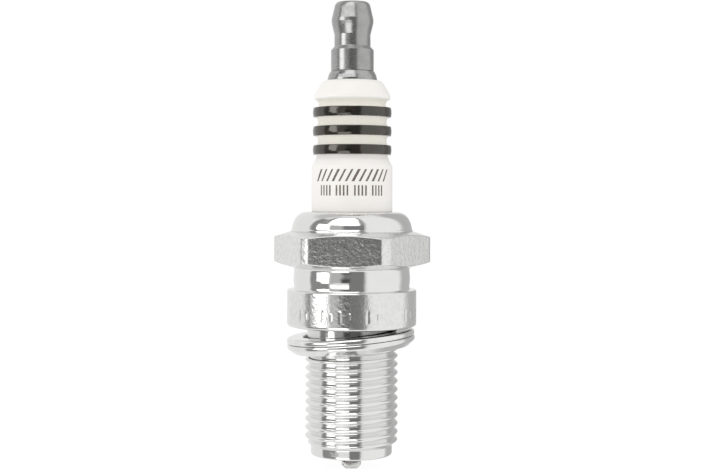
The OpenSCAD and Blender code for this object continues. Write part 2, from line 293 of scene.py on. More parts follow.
class Paint(Nodes):
    """A node material with a Principled shader. Its patterns are sized in millimetres."""

    def __init__(self, name):
        self.material = bpy.data.materials.new(name)
        self.material.use_nodes = True
        super().__init__(self.material.node_tree)
        self.shader = self.tree.nodes["Principled BSDF"]
        where = self.node("ShaderNodeTexCoord").outputs["Object"]
        self.mm = self.vector("SCALE", where, scale=1 / MM)

    def set(self, **inputs):
        """Feeds the shader's inputs, whose names are written with _ for a space."""
        for name, value in inputs.items():
            self.feed(self.shader.inputs[name.replace("_", " ")], value)

    def round_axis(self):
        """Coordinates (distance round the axis, radius, height), for marks that run round a turned part."""
        x, y, z = self.split(self.mm)
        square = self.math("ADD", self.math("MULTIPLY", x, x), self.math("MULTIPLY", y, y))
        radius = self.math("SQRT", square)
        angle = self.math("ARCTAN2", y, x)
        return self.join(self.math("MULTIPLY", angle, radius), radius, z)

    def noise(self, per_mm, detail=3.0, rough=0.55, where=None, stretch=None):
        """Noise around 0.5 with this many features per millimetre."""
        where = where or self.mm
        if stretch:
            where = self.vector("MULTIPLY", where, stretch)
        made = self.node("ShaderNodeTexNoise")
        self.feed(made.inputs["Vector"], where)
        self.feed(made.inputs["Scale"], per_mm)
        self.feed(made.inputs["Detail"], detail)
        self.feed(made.inputs["Roughness"], rough)
        return made.outputs[0]

    def cells(self, per_mm):
        """Distance to the middle of the nearest of this many cells per millimetre."""
        made = self.node("ShaderNodeTexVoronoi", feature="F1")
        self.feed(made.inputs["Vector"], self.mm)
        self.feed(made.inputs["Scale"], per_mm)
        return made.outputs["Distance"]

    def blend(self, share, a, b):
        """Colour a where share is 0 and colour b where it is 1."""
        made = self.node("ShaderNodeMix", data_type="RGBA")
        for socket, value in zip((made.inputs[0], made.inputs[6], made.inputs[7]), (share, a, b)):
            self.feed(socket, value if isinstance(value, bpy.types.NodeSocket) else colour(value))
        return made.outputs[2]

    def crevice(self, reach_mm):
        """1 in the open, less where other surfaces stand within reach_mm."""
        made = self.node("ShaderNodeAmbientOcclusion", samples=6)
        self.feed(made.inputs["Distance"], reach_mm * MM)
        return made.outputs["AO"]

    def mark(self, name):
        """A value stored on the mesh's points."""
        return self.node("ShaderNodeAttribute", attribute_name=name).outputs["Fac"]

    def bump(self, height, depth_mm, under=None):
        """Normals of a surface whose height runs over depth_mm."""
        made = self.node("ShaderNodeBump")
        self.feed(made.inputs["Strength"], 1.0)
        self.feed(made.inputs["Distance"], depth_mm * MM)
        self.feed(made.inputs["Height"], height)
        if under:
            self.feed(made.inputs["Normal"], under)
        return made.outputs[0]


def colour(value):
    """A plain number stays a number, and three numbers become an opaque colour."""
    return value if isinstance(value, (int, float)) else (*value, 1.0)


# ---- Materials ----


def plated_steel():
    """Bright nickel plate, smooth with faint lathe lines, and mottled as far as the dull mark is high.

    Crevices get painted shade, nearly black in the gap where the under mark is 1.
    """
    p = Paint("plated_steel")
    dull = p.mark("dull")
    under = p.mark("under")
    cloud = p.noise(0.45, 4)
    mottle = p.noise(1.8, 6, 0.66)
    streaks = p.noise(1.0, 5, 0.7, None, (2.6, 2.6, 0.9))
    lines = p.noise(1.0, 4, 0.6, p.round_axis(), (0.15, 0.0, 9.0))
    tone = p.blend(cloud, (0.8, 0.8, 0.79), (0.86, 0.86, 0.85))
    stain = p.math("MULTIPLY", p.curve(mottle, 0.42, 0.62), p.math("MULTIPLY", dull, 0.24))
    tone = p.blend(stain, tone, (0.5, 0.5, 0.49))
    # Painted shade: the colour darkens where other surfaces stand close, and goes nearly black in the gap that the
    # under mark covers.
    painted_shade = p.curve(p.crevice(0.45), 0.05, 0.4, 0.35, 0.0)
    painted_shade = p.math("MULTIPLY", painted_shade, p.math("SUBTRACT", 1.0, under))
    gap_shade = p.math("MULTIPLY", p.curve(p.crevice(1.5), 0.2, 0.75, 1.0, 0.0), under)
    painted_shade = p.math("ADD", painted_shade, gap_shade, clamp=True)
    tone = p.blend(painted_shade, tone, (0.07, 0.068, 0.063))
    smooth = p.curve(streaks, 0.4, 0.75, 0.045, 0.1)
    rough = p.math("ADD", smooth, p.math("MULTIPLY", dull, p.curve(mottle, 0.35, 0.65, 0.0, 0.05)))
    dents = p.math("MULTIPLY", mottle, p.math("ADD", 0.06, dull))
    bumps = p.bump(lines, 0.0025)
    bumps = p.bump(dents, 0.042, bumps)
    bumps = p.bump(cloud, 0.015, bumps)
    p.set(Base_Color=tone, Metallic=1.0, Roughness=rough, Normal=bumps)
    return p.material


def turned_metal(name, dark, light, rough, lines_mm=0.003, grain_mm=0.003, painted_shade=0.5):
    """Satin metal with lathe lines, blotches and small dents, and painted shade darkening its crevices."""
    p = Paint(name)
    cloud = p.noise(0.8, 4)
    grain = p.noise(7.0, 4, 0.7)
    lines = p.noise(1.0, 3, 0.6, p.round_axis(), (0.2, 0.0, 11.0))
    tone = p.blend(p.curve(cloud, 0.3, 0.7), dark, light)
    # Painted shade: the colour darkens towards near black where other surfaces stand close.
    tone = p.blend(p.curve(p.crevice(0.6), 0.05, 0.6, painted_shade, 0.0), tone, (0.08, 0.078, 0.072))
    shine = p.curve(grain, 0.3, 0.7, rough - 0.05, rough + 0.06)
    bumps = p.bump(lines, lines_mm)
    bumps = p.bump(grain, grain_mm, bumps)
    bumps = p.bump(p.noise(0.7, 2), 0.012, bumps)
    p.set(Base_Color=tone, Metallic=1.0, Roughness=shine, Normal=bumps)
    return p.material


def white_ceramic():
    """Warm white alumina under a clear glaze. Between the ribs it is darker and warmer: painted shade and warm
    bounced light, with some of the glaze's own tint.
    """
    p = Paint("white_ceramic")
    hollow = p.mark("hollow")
    cloud = p.noise(0.35, 3)
    specks = p.cells(2.6)
    tone = p.blend(cloud, (0.91, 0.885, 0.845), (0.935, 0.915, 0.88))
    # Painted shade and warm bounced light between the ribs, with some of the glaze's own tint: yellower and a
    # little darker there.
    tone = p.blend(p.math("MULTIPLY", hollow, 0.8), tone, (0.93, 0.895, 0.8))
    tone = p.blend(p.curve(specks, 0.02, 0.06, 0.35, 0.0), tone, (0.55, 0.5, 0.42))
    ripple = p.bump(p.noise(0.6, 2), 0.02)
    ripple = p.bump(p.noise(5.0, 3), 0.0015, ripple)
    p.set(Base_Color=tone, Roughness=p.curve(cloud, 0.3, 0.7, 0.3, 0.42), IOR=1.38, Normal=ripple)
    return p.material


def dark_glaze():
    """Greenish black gloss glaze, a little brown where it is thin."""
    p = Paint("dark_glaze")
    thin = p.curve(p.noise(0.9, 4), 0.52, 0.72)
    pits = p.noise(4.0, 4, 0.7)
    tone = p.blend(p.math("MULTIPLY", thin, 0.8), (0.004, 0.0038, 0.002), (0.03, 0.015, 0.007))
    ripple = p.bump(p.noise(1.1, 2), 0.03)
    ripple = p.bump(pits, 0.004, ripple)
    p.set(Base_Color=tone, Roughness=p.curve(pits, 0.3, 0.7, 0.04, 0.12), IOR=1.85, Normal=ripple)
    p.set(Specular_Tint=(1.0, 0.96, 0.88, 1.0))
    return p.material


def brown_ink():
    """Fired printing ink, thin and a little broken up."""
    p = Paint("print_ink")
    worn = p.curve(p.noise(6.0, 4, 0.7), 0.42, 0.7)
    p.set(Base_Color=p.blend(worn, (0.1, 0.08, 0.065), (0.34, 0.29, 0.25)), Roughness=0.4)
    p.set(Normal=p.bump(worn, 0.003))
    return p.material


def powder(name, dark, light, per_mm, rough):
    """Matt granular body, for pressed powder, fired resistor paste and metal-filled glass."""
    p = Paint(name)
    grain = p.noise(per_mm, 6, 0.75)
    pores = p.cells(per_mm * 0.6)
    tone = p.blend(p.curve(grain, 0.3, 0.7), dark, light)
    p.set(Base_Color=tone, Roughness=p.curve(pores, 0.1, 0.5, rough + 0.1, rough))
    p.set(Normal=p.bump(p.math("ADD", grain, pores), 0.05))
    return p.material


def electrode_alloy():
    """Drawn nickel alloy, satin, with straw and blue heat tint close to the weld and faint draw lines."""
    p = Paint("nickel_alloy")
    draw = p.noise(1.0, 4, 0.6, None, (9.0, 0.4, 9.0))
    blotch = p.noise(1.3, 4)
    height = p.split(p.mm)[2]
    heat = p.curve(height, SHELL_END - 1.1, SHELL_END - 0.2)
    tone = p.blend(p.curve(blotch, 0.3, 0.7), (0.6, 0.595, 0.58), (0.8, 0.795, 0.78))
    tint = p.blend(p.curve(blotch, 0.4, 0.65), (0.6, 0.52, 0.38), (0.5, 0.52, 0.58))
    tone = p.blend(p.math("MULTIPLY", heat, 0.3), tone, tint)
    bumps = p.bump(draw, 0.008)
    bumps = p.bump(p.noise(4.0, 4, 0.7), 0.02, bumps)
    p.set(Base_Color=tone, Metallic=1.0, Roughness=p.curve(blotch, 0.3, 0.7, 0.28, 0.42), Normal=bumps)
    return p.material


paints = {
    "plated_steel": plated_steel(),
    "gasket_steel": turned_metal("gasket_steel", (0.8, 0.8, 0.79), (0.88, 0.88, 0.87), 0.1,
                                 0.001, 0.002, 0.25),
    "nickel_alloy": electrode_alloy(),
    "white_ceramic": white_ceramic(),
    "dark_glaze": dark_glaze(),
    "stud_steel": turned_metal("stud_steel", (0.37, 0.37, 0.368), (0.46, 0.46, 0.456), 0.2),
    "nut_steel": turned_metal("nut_steel", (0.375, 0.375, 0.372), (0.435, 0.434, 0.43), 0.24),
    "seal_glass": powder("seal_glass", (0.12, 0.14, 0.13), (0.34, 0.36, 0.34), 5.0, 0.5),
    "resistor_body": powder("resistor_body", (0.03, 0.03, 0.03), (0.11, 0.1, 0.1), 6.0, 0.7),
    "copper": turned_metal("copper", (0.55, 0.25, 0.15), (0.75, 0.4, 0.27), 0.25),
    "iridium": turned_metal("iridium", (0.66, 0.66, 0.68), (0.82, 0.82, 0.83), 0.2, 0.002, 0.002),
    "washer_steel": turned_metal("washer_steel", (0.5, 0.46, 0.36), (0.66, 0.62, 0.5), 0.32),
    "ring_steel": turned_metal("ring_steel", (0.55, 0.55, 0.54), (0.7, 0.7, 0.68), 0.28),
    "talc": powder("talc", (0.72, 0.68, 0.6), (0.88, 0.85, 0.79), 4.0, 0.85),
}
ink = brown_ink()


# ---- Steel shell: crimp, hexagon, barrel, collar, thread and lead-in in one closed mesh ----

CRIMP_R = 8.93
CRIMP_H = 2.79
CRIMP_FLAT_R = 6.85
CRIMP_FOOT = 0.22
CRIMP_WALL = 0.85
LIP_R = BODY_R + 0.1
HEX_TOP = CRIMP_TOP - CRIMP_H
HEX_H = 5.43
HEX_LOW = HEX_TOP - HEX_H
HEX_FLAT_R = 10.4
HEX_TURN = math.radians(-6)
CHAMFER_H = 0.87
BARREL_R = 8.45
BARREL_BULGE = 0.22
BARREL_FILLET = 0.24
COLLAR_R = 9.6
COLLAR_TOP = 5.4
COLLAR_ROUND_LOW = 0.4
COLLAR_ROUND_TOP = 0.22
NECK_R = 6.58
NECK_H = 3.1
RELIEF_R = NECK_R - 0.12
THREAD_ROOT_R = 6.25
PITCH = 1.25
FIRST_CREST = -4.39
THREAD_END = SHELL_END + 1.4
LEAD_R = 6.03
NOSE_BORE_R = 4.3
LEG_BORE_R = 5.2
HEAD_BORE_R = 7.35
LEDGE = NOSE_TIP + 5.8
HEAD_LOW = 3.6
SHELL_COLUMNS = 450


def hexagon_radius(z, angle):
    """Radius of the hexagon, its corners cut round and chamfered, and its edges a little rounded."""
    corner_round, edge_round = 0.1, 0.16
    sixth = TURN / 6
    off_flat = (angle - HEX_TURN - sixth / 2) % sixth
    off_flat = np.minimum(off_flat, sixth - off_flat)
    flat = HEX_FLAT_R / np.cos(off_flat)
    slope_top = CRIMP_R + (HEX_TOP - z) * (HEX_CORNER_R - CRIMP_R) / CHAMFER_H
    low_r = CRIMP_R - 0.3
    slope_low = low_r + (z - HEX_LOW) * (HEX_CORNER_R - low_r) / CHAMFER_H
    radius = smooth_min(flat, HEX_CORNER_R, corner_round)
    radius = smooth_min(radius, slope_top, edge_round)
    return smooth_min(radius, slope_low, edge_round)


def collar_stamps(z, angle):
    """Depth of the plain upright dashes stamped round the collar: groups of four, every other one short.

    A group has one slot more than dashes, and the empty slot parts it from the next group.
    """
    groups, slots = 9, 5
    middle_z, half_length, short_share = 2.0, 1.0, 0.6
    half_width, depth = 0.14, 0.07
    along = angle / TURN * groups * slots
    slot = np.floor(along) % slots
    up = (z - middle_z) / (half_length * np.where(slot % 2 == 0, 1.0, short_share))
    across = np.abs(along % 1 - 0.5)
    dash = (1 - smooth_step(across, 0.0, half_width)) * (1 - smooth_step(np.abs(up), 0.75, 1.0))
    return depth * dash * (slot < slots - 1)


def shell_outline():
    """(points, tags): the shell's closed section, anticlockwise, with the stretch that each point is on.

    steel_shell() sets the radius of the thread's and the hexagon's points.
    """
    parts = []

    def add(tag, points):
        parts.append((tag, np.asarray(points, float)))

    add("plain", dense([(NOSE_BORE_R, SHELL_END + 0.15), (NOSE_BORE_R + 0.15, SHELL_END)], 0.1))
    end = rounded([(NOSE_BORE_R + 0.2, SHELL_END), (LEAD_R, SHELL_END, 0.25), (LEAD_R, THREAD_END - 0.06)])
    add("plain", dense(end, 0.3))
    add("thread", [(0, z) for z in np.arange(THREAD_END, -NECK_H - 0.25, 0.05)])
    add("plain", dense([(RELIEF_R, -NECK_H - 0.16), (NECK_R - 0.04, -NECK_H - 0.08)], 1))
    low_middle_r = COLLAR_R - COLLAR_ROUND_LOW
    neck = rounded([(NECK_R, -NECK_H - 0.02), (NECK_R, 0, 0.12), (low_middle_r, 0)])
    add("plain", dense(neck, 0.25))
    add("plain", arc(low_middle_r, COLLAR_ROUND_LOW, COLLAR_ROUND_LOW, COLLAR_ROUND_LOW, -80, 0, 7))
    add("collar", [(COLLAR_R, z) for z in np.arange(0.5, COLLAR_TOP - 0.3, 0.09)])
    add("plain", arc(COLLAR_R - COLLAR_ROUND_TOP, COLLAR_TOP - COLLAR_ROUND_TOP,
                     COLLAR_ROUND_TOP, COLLAR_ROUND_TOP, 0, 88, 7))
    add("plain", [(BARREL_R + 0.35, COLLAR_TOP + 0.02)])
    barrel_h = HEX_LOW - COLLAR_TOP
    for t in np.linspace(0, 1, 34):
        fillet = BARREL_FILLET * (math.exp(-t * 13) + math.exp((t - 1) * 13))
        bulge = BARREL_BULGE * math.sin(math.pi * t)
        add("plain", [(BARREL_R + fillet + bulge, COLLAR_TOP + 0.04 + (barrel_h - 0.05) * t)])
    chamfer = np.linspace(0.02, CHAMFER_H + 0.15, 26)
    add("hexagon", [(0, HEX_LOW + step) for step in chamfer])
    add("hexagon", [(0, z) for z in np.linspace(HEX_LOW + 1.15, HEX_TOP - 1.15, 14)])
    add("hexagon", [(0, HEX_TOP - step) for step in chamfer[::-1]])
    crimp = arc(CRIMP_FLAT_R, HEX_TOP, CRIMP_R - CRIMP_FLAT_R, CRIMP_H, 1, 90, 34)
    crimp[:, 0] += CRIMP_FOOT * np.exp((HEX_TOP - crimp[:, 1]) / 0.16)
    add("plain", crimp)
    lip = rounded([(CRIMP_FLAT_R - 0.2, CRIMP_TOP), (LIP_R, CRIMP_TOP, 0.15), (LIP_R, CRIMP_TOP - 0.4)])
    add("plain", lip)
    inside = rounded([(LIP_R, CRIMP_TOP - CRIMP_WALL, 0.05), (HEAD_BORE_R, CRIMP_TOP - CRIMP_WALL, 0.3),
                      (HEAD_BORE_R, HEAD_LOW - 0.3, 0.3), (LEG_BORE_R, HEAD_LOW - 1.6, 0.3),
                      (LEG_BORE_R, LEDGE + 0.52, 0.05), (NOSE_BORE_R, LEDGE, 0.1),
                      (NOSE_BORE_R, SHELL_END + 0.4)])
    add("plain", dense(inside, 0.8))
    points = np.concatenate([piece for _, piece in parts])
    tags = np.concatenate([[tag] * len(piece) for tag, piece in parts])
    return points, tags


def steel_shell():
    """Shell, its thread running out into the neck above and into the lead-in below."""
    run_in_z, run_out_h = -3.9, 0.9
    outline, tags = shell_outline()
    is_hexagon = tags == "hexagon"
    is_thread = tags == "thread"
    is_collar = tags == "collar"

    def change(r, z, angle):
        r[is_hexagon] = hexagon_radius(z[is_hexagon], angle[is_hexagon])
        tz, ta = z[is_thread], angle[is_thread]
        ridge = helix(tz, ta, FIRST_CREST, PITCH, THREAD_R, THREAD_ROOT_R) - THREAD_ROOT_R
        run_in = 1 - smooth_step(tz + PITCH * (0.5 - ta / TURN), run_in_z, run_in_z + 0.5)
        run_out = smooth_step(tz, THREAD_END - 0.05, THREAD_END + run_out_h)
        base = LEAD_R + (THREAD_ROOT_R - LEAD_R) * smooth_step(tz, THREAD_END, THREAD_END + 0.3)
        base += (RELIEF_R - THREAD_ROOT_R) * smooth_step(tz, run_in_z + 0.15, run_in_z + 0.6)
        r[is_thread] = base + ridge * run_in * run_out
        r[is_collar] -= collar_stamps(z[is_collar], angle[is_collar])
        return r, z

    corners, faces = spin(outline, SHELL_COLUMNS, True, change)
    # The under mark covers the neck and the collar's underside, where painted shade makes the gap nearly black.
    is_gap_shade = (outline[:, 1] < 0.3) & (outline[:, 1] > -NECK_H) & (outline[:, 0] > NECK_R - 0.1)
    collar_dullness = 0.75
    marks = {"dull": is_hexagon + collar_dullness * is_collar, "under": is_gap_shade}
    marks = {name: np.repeat(share, SHELL_COLUMNS) for name, share in marks.items()}
    put("steel_shell", corners, faces, paints["plated_steel"], "plug", ["shell"], marks)


# ---- Gasket: one sheet folded into four layers, tilted on the neck ----

GASKET_MIDDLE = (-0.12, 0, -1.98)
GASKET_R = 9.53
GASKET_HOLE_R = 6.86
SHEET = 0.44
SHEET_GAP = 0.016
FOOT_R = 7.3
FOOT_Z = -1.55
FOOT_SLOPE = math.radians(40)


def gasket_outline():
    """Closed outline of the folded sheet, about its middle fold.

    Its path runs from the top layer's end, through the folds, to the foot's end near the hole.
    """
    layer = SHEET + SHEET_GAP
    half = layer / 2
    bend_x = GASKET_R - SHEET - SHEET_GAP / 2
    inner_x = GASKET_HOLE_R + SHEET + SHEET_GAP / 2
    foot_z = FOOT_Z + SHEET / 2
    leave = np.array([bend_x + half * math.sin(FOOT_SLOPE), -layer - half * math.cos(FOOT_SLOPE)])
    land = (leave[0] - (leave[1] - foot_z) / math.tan(FOOT_SLOPE), foot_z)
    path = np.concatenate([
        dense([(GASKET_HOLE_R + 0.4, 1.5 * layer), (bend_x, 1.5 * layer)], 0.25),
        arc(bend_x, layer, half, half, 90, -90, 14)[1:],
        dense([(bend_x, half), (inner_x, half)], 0.3)[1:],
        arc(inner_x, 0, half, half, 90, 270, 10)[1:],
        dense([(inner_x, -half), (bend_x, -half)], 0.3)[1:],
        arc(bend_x, -layer, half, half, 90, math.degrees(FOOT_SLOPE) - 90, 12)[1:],
        dense(rounded([leave, (*land, 0.4), (FOOT_R, foot_z)]), 0.25)[1:],
    ])
    outline = thick_line(path[::-1], SHEET / 2)
    # The press flattens the round backs of the outer bends: half circles become squarer curves.
    past = np.clip((outline[:, 0] - bend_x) / (GASKET_R - bend_x), 0, 1) * (np.abs(outline[:, 1]) < layer)
    squeezed = (1 - (1 - past**2) ** 2) ** 0.25
    outline[:, 0] += (GASKET_R - bend_x) * (squeezed - past)
    return outline


def folded_gasket():
    """Gasket, turned by its joint's range from flat, so that its right side touches the collar."""
    tilt = math.radians(GASKET_TILT)

    def change(r, z, angle):
        """The rim isn't quite round, and the layers close up unevenly."""
        wave = 0.5 * np.sin(2 * angle + 0.7) + 0.3 * np.sin(5 * angle + 2.1) + 0.2 * np.sin(11 * angle)
        share = np.clip((r - GASKET_HOLE_R) / (GASKET_R - GASKET_HOLE_R), 0, 1)
        return r - 0.02 * (1 + wave) * share, z * (0.985 + 0.015 * wave)

    corners, faces = spin(gasket_outline(), ROUND_COLUMNS, True, change)
    x, y, z = corners.T
    turned = np.column_stack([x * math.cos(tilt) - z * math.sin(tilt), y,
                              x * math.sin(tilt) + z * math.cos(tilt)])
    put("folded_gasket", turned + GASKET_MIDDLE, faces, paints["gasket_steel"], "gasket",
        ["gasket"])


# ---- Insulator, its glazed ribs and its print ----

RIB_PITCH = 2.78
RIB_H = 1.42
RIB_COUNT = 3
RIB_R = 5.85
RIB_CORE_R = RIB_R - 0.1
CERAMIC_INSET = 0.06
FIRST_RIB = BODY_TOP + 2.44
BORE_R = 2.05


def rib_face(i, inset):
    """Crowned outer face of rib i, inset below the glaze, from the bottom up."""
    middle = FIRST_RIB + i * RIB_PITCH
    half = RIB_H / 2 - inset
    r = RIB_R - inset
    crown = [(r - 0.1 * t * t, middle + half * t) for t in np.linspace(-0.8, 0.7, 12)]
    low = rounded([(r - 0.5, middle - half + 0.02), (r - 0.08, middle - half, 0.12), crown[0]], 5)
    high = rounded([crown[-1], (r - 0.08, middle + half, 0.4), (r - 0.5, middle + half - 0.02)], 7)
    return np.concatenate([low[:-1], crown, high[1:]])


def ceramic_insulator():
    """Insulator from its nose up over the ribs to its top, and down its stepped bore."""
    parts = []
    hollow_shades = []

    def add(points, hollow=0.0):
        parts.append(np.asarray(points, float))
        hollow_shades.append(np.full(len(points), hollow))

    play, washer = 0.15, 0.4
    head_r, leg_r, step_r = HEAD_BORE_R - play, LEG_BORE_R - play, NOSE_BORE_R - play
    packed_r = BODY_R - 0.2
    shoulder = 10.9
    wire_r, wire_top = 1.3, -4.6
    slope = math.tan(math.radians(30))
    ledge_leg = LEDGE + (leg_r - NOSE_BORE_R) * slope + washer
    ledge_step = LEDGE + (step_r - NOSE_BORE_R) * slope + washer
    nose = rounded([(wire_r, NOSE_TIP), (2.35, NOSE_TIP, 0.25), (3.7, ledge_step - 0.3, 0.4),
                    (step_r, ledge_step, 0.1), (leg_r, ledge_leg, 0.15), (leg_r, HEAD_LOW - 1.3, 0.3),
                    (head_r, HEAD_LOW + 0.2, 0.3), (head_r, shoulder - 0.5, 0.4),
                    (head_r - 0.4, shoulder, 0.1), (packed_r, shoulder, 0.1), (packed_r, CRIMP_TOP - 0.15)])
    add(dense(nose, 0.6))
    neck_r = RIB_CORE_R - 0.45
    neck_low = FIRST_RIB - RIB_H / 2
    body = rounded([(BODY_R, CRIMP_TOP), (BODY_R, BODY_TOP, 0.5), (neck_r, neck_low - 0.4, 0.5),
                    (neck_r, neck_low - 0.02)])
    add(dense(body, 0.2))
    for i in range(RIB_COUNT):
        face = rib_face(i, CERAMIC_INSET)
        add(face)
        foot = face[-1][1]
        last = i == RIB_COUNT - 1
        head = INSULATOR_TOP - 2.85 if last else rib_face(i + 1, CERAMIC_INSET)[0][1]
        depth = 0.8 if last else 0.65
        waist = arc(RIB_CORE_R - 0.1, (foot + head) / 2, -depth + 0.1, (head - foot) / 2, -60, 60, 14)
        # The waists between the ribs carry the mark for the ceramic's painted shade and bounced light.
        add(waist, 1.0)
    band_r = 5.67
    top = rounded([(band_r - 0.3, INSULATOR_TOP - 2.9), (band_r, INSULATOR_TOP - 2.7, 0.3),
                   (band_r, INSULATOR_TOP - 2.2, 0.4), (4.68, INSULATOR_TOP - 0.45, 0.6),
                   (4.2, INSULATOR_TOP, 0.5), (BORE_R + 0.1, INSULATOR_TOP),
                   (BORE_R, INSULATOR_TOP - 0.1), (BORE_R, wire_top), (wire_r, wire_top)])
    add(dense(top, 0.35))
    corners, faces = spin(np.concatenate(parts), ROUND_COLUMNS, True)
    marks = {"hollow": np.repeat(np.concatenate(hollow_shades), ROUND_COLUMNS)}
    put("ceramic_insulator", corners, faces, paints["white_ceramic"], "plug",
        ["insulator"], marks)


def glaze_bands():
    """Three bands of glaze on the ribs, sunk a little into the ceramic, in one mesh."""
    corners, faces = [], []
    for i in range(RIB_COUNT):
        face = rib_face(i, 0.0)
        inner = face + [-0.2, 0.0]
        inner[:, 1] = np.clip(inner[:, 1], face[0, 1] + 0.08, face[-1, 1] - 0.08)
        outline = np.concatenate([dense(face, 0.12), inner[::-1]])

        def change(r, z, angle, middle=(face[0, 1] + face[-1, 1]) / 2, shift=i):
            """The glaze's edges wander a little round the rib."""
            wave = np.sin(3 * angle + shift) + 0.6 * np.sin(7 * angle + 2 * shift) + 0.4 * np.sin(17 * angle)
            return r, z + 0.012 * wave * np.sign(z - middle) * (r < RIB_R - 0.08)

        made, quads = spin(outline, ROUND_COLUMNS, True, change)
        faces += [[corner + len(corners) * len(made) for corner in quad] for quad in quads]
        corners.append(made)
    put("glaze_bands", np.concatenate(corners), faces, paints["dark_glaze"], "plug",
        ["rib_glaze"])


def printed_bar(middle, z, width, height, lean):
    """Corners and faces of one thin printed stroke on the insulator.

    middle, width and lean are degrees round the body, and middle is 0 at the front.
    """
    proud, sunk = 0.012, -0.03
    across, up = 4, 6
    corners = []
    for layer in (sunk, proud):
        for v in np.linspace(-0.5, 0.5, up + 1):
            for u in np.linspace(-0.5, 0.5, across + 1):
                angle = math.radians(-90 + middle + width * u + lean * v)
                corners.append([(BODY_R + layer) * math.cos(angle), (BODY_R + layer) * math.sin(angle),
                                z + height * v])
    index = np.arange(len(corners)).reshape(2, up + 1, across + 1)
    faces = []
    for j in range(up):
        for k in range(across):
            for layer, step in ((0, -1), (1, 1)):
                square = [index[layer, j, k], index[layer, j, k + 1],
                          index[layer, j + 1, k + 1], index[layer, j + 1, k]]
                faces.append([int(corner) for corner in square[::step]])
    rim = [index[:, 0, k] for k in range(across)] + [index[:, j, across] for j in range(up)]
    rim += [index[:, up, k] for k in range(across, 0, -1)] + [index[:, j, 0] for j in range(up, 0, -1)]
    for a, b in zip(rim, rim[1:] + rim[:1]):
        faces.append([int(a[0]), int(b[0]), int(b[1]), int(a[1])])
    return corners, faces


def insulator_print():
    """Plain dashes where a plug carries its print: a row of slanted strokes over a row of small bars.

    Every third slanted stroke is bolder, and every fifth small bar is left out.
    """
    random.seed(4)
    stroke_z, bar_z = BODY_TOP - 1.35, BODY_TOP - 3.55
    strokes = []
    for i in range(12):
        width = 2.9 + 0.9 * (i % 3 == 0)
        strokes.append((-52 + i * 9.6, stroke_z, width, 1.75, 9.0))
    for i in range(20):
        if i % 5 != 4:
            strokes.append((-48 + i * 5.2, bar_z, 2.2, 1.5, 0.0))
    corners, faces = [], []
    for middle, z, width, height, lean in strokes:
        more, quads = printed_bar(middle, z, width + random.uniform(-0.2, 0.2), height, lean)
        faces += [[corner + len(corners) for corner in quad] for quad in quads]
        corners += more
    put("insulator_print", corners, faces, ink, "plug")


# ---- Terminal stud and nut ----

STUD_R = 2.0
STUD_PITCH = 0.7
STUD_ROOT_R = STUD_R - 0.6 * STUD_PITCH
STUD_COLUMNS = 192
stud_low, stud_high = box_mm("terminal_stud")
nut_low, nut_high = box_mm("terminal_nut")
STUD_TOP, STUD_END = stud_high[2], stud_low[2]
NUT_LOW, NUT_TOP = nut_low[2], nut_high[2]
FLANGE_R = stud_high[0]


def threaded_stud():
    """Stud with a helical thread, a flange on the insulator and a knurled foot in the glass seal."""
    foot_r = 1.75
    shank_r = BORE_R - 0.08
    knurl_top = STUD_END + 3.3
    knurls, knurl_slant, knurl_depth = 12, 5.2, 0.07
    shank = rounded([(0, STUD_END), (foot_r - 0.2, STUD_END, 0.05), (foot_r, STUD_END + 0.2, 0.05),
                     (foot_r, knurl_top, 0.05), (shank_r, knurl_top, 0.05), (shank_r, INSULATOR_TOP + 0.02)])
    flange = rounded([(shank_r, INSULATOR_TOP + 0.02), (FLANGE_R, INSULATOR_TOP + 0.02, 0.06),
                      (FLANGE_R, INSULATOR_TOP + 0.3, 0.12), (FLANGE_R - 0.14, INSULATOR_TOP + 0.85, 0.4),
                      (FLANGE_R - 0.4, NUT_LOW - 0.03, 0.1),
                      (FLANGE_R - 0.5, NUT_LOW), (STUD_ROOT_R, NUT_LOW, 0.1), (STUD_ROOT_R, NUT_LOW + 0.3)])
    thread_z = np.arange(NUT_LOW + 0.35, STUD_TOP - 0.5, 0.035)
    thread = np.column_stack([np.full(len(thread_z), -1.0), thread_z])
    point = rounded([(STUD_ROOT_R + 0.1, STUD_TOP - 0.42), (STUD_R - 0.45, STUD_TOP - 0.05, 0.1),
                     (0.9, STUD_TOP, 0.1), (0, STUD_TOP)])
    outline = np.concatenate([dense(shank, 0.4), dense(flange, 0.25)[1:], thread, dense(point, 0.2)])

    def change(r, z, angle):
        threaded = r < 0
        ridge = helix(z, angle, STUD_TOP - 1, STUD_PITCH, STUD_R, STUD_ROOT_R) - STUD_ROOT_R
        fade = smooth_step(z, NUT_LOW + 0.35, NUT_LOW + 0.9)
        fade = fade * (1 - smooth_step(z, STUD_TOP - 1.0, STUD_TOP - 0.5))
        r = np.where(threaded, STUD_ROOT_R + 0.1 * (1 - fade) + ridge * fade, r)
        knurled = (z < knurl_top - 0.1) & (z > STUD_END + 0.3) & (r > foot_r - 0.1)
        right = np.abs(np.sin(knurls * angle + knurl_slant * z))
        left = np.abs(np.sin(knurls * angle - knurl_slant * z))
        return np.where(knurled, r - knurl_depth * (right + left), r), z

    corners, faces = spin(outline, STUD_COLUMNS, False, change)
    put("threaded_stud", corners, faces, paints["stud_steel"], "plug", ["terminal_stud"])


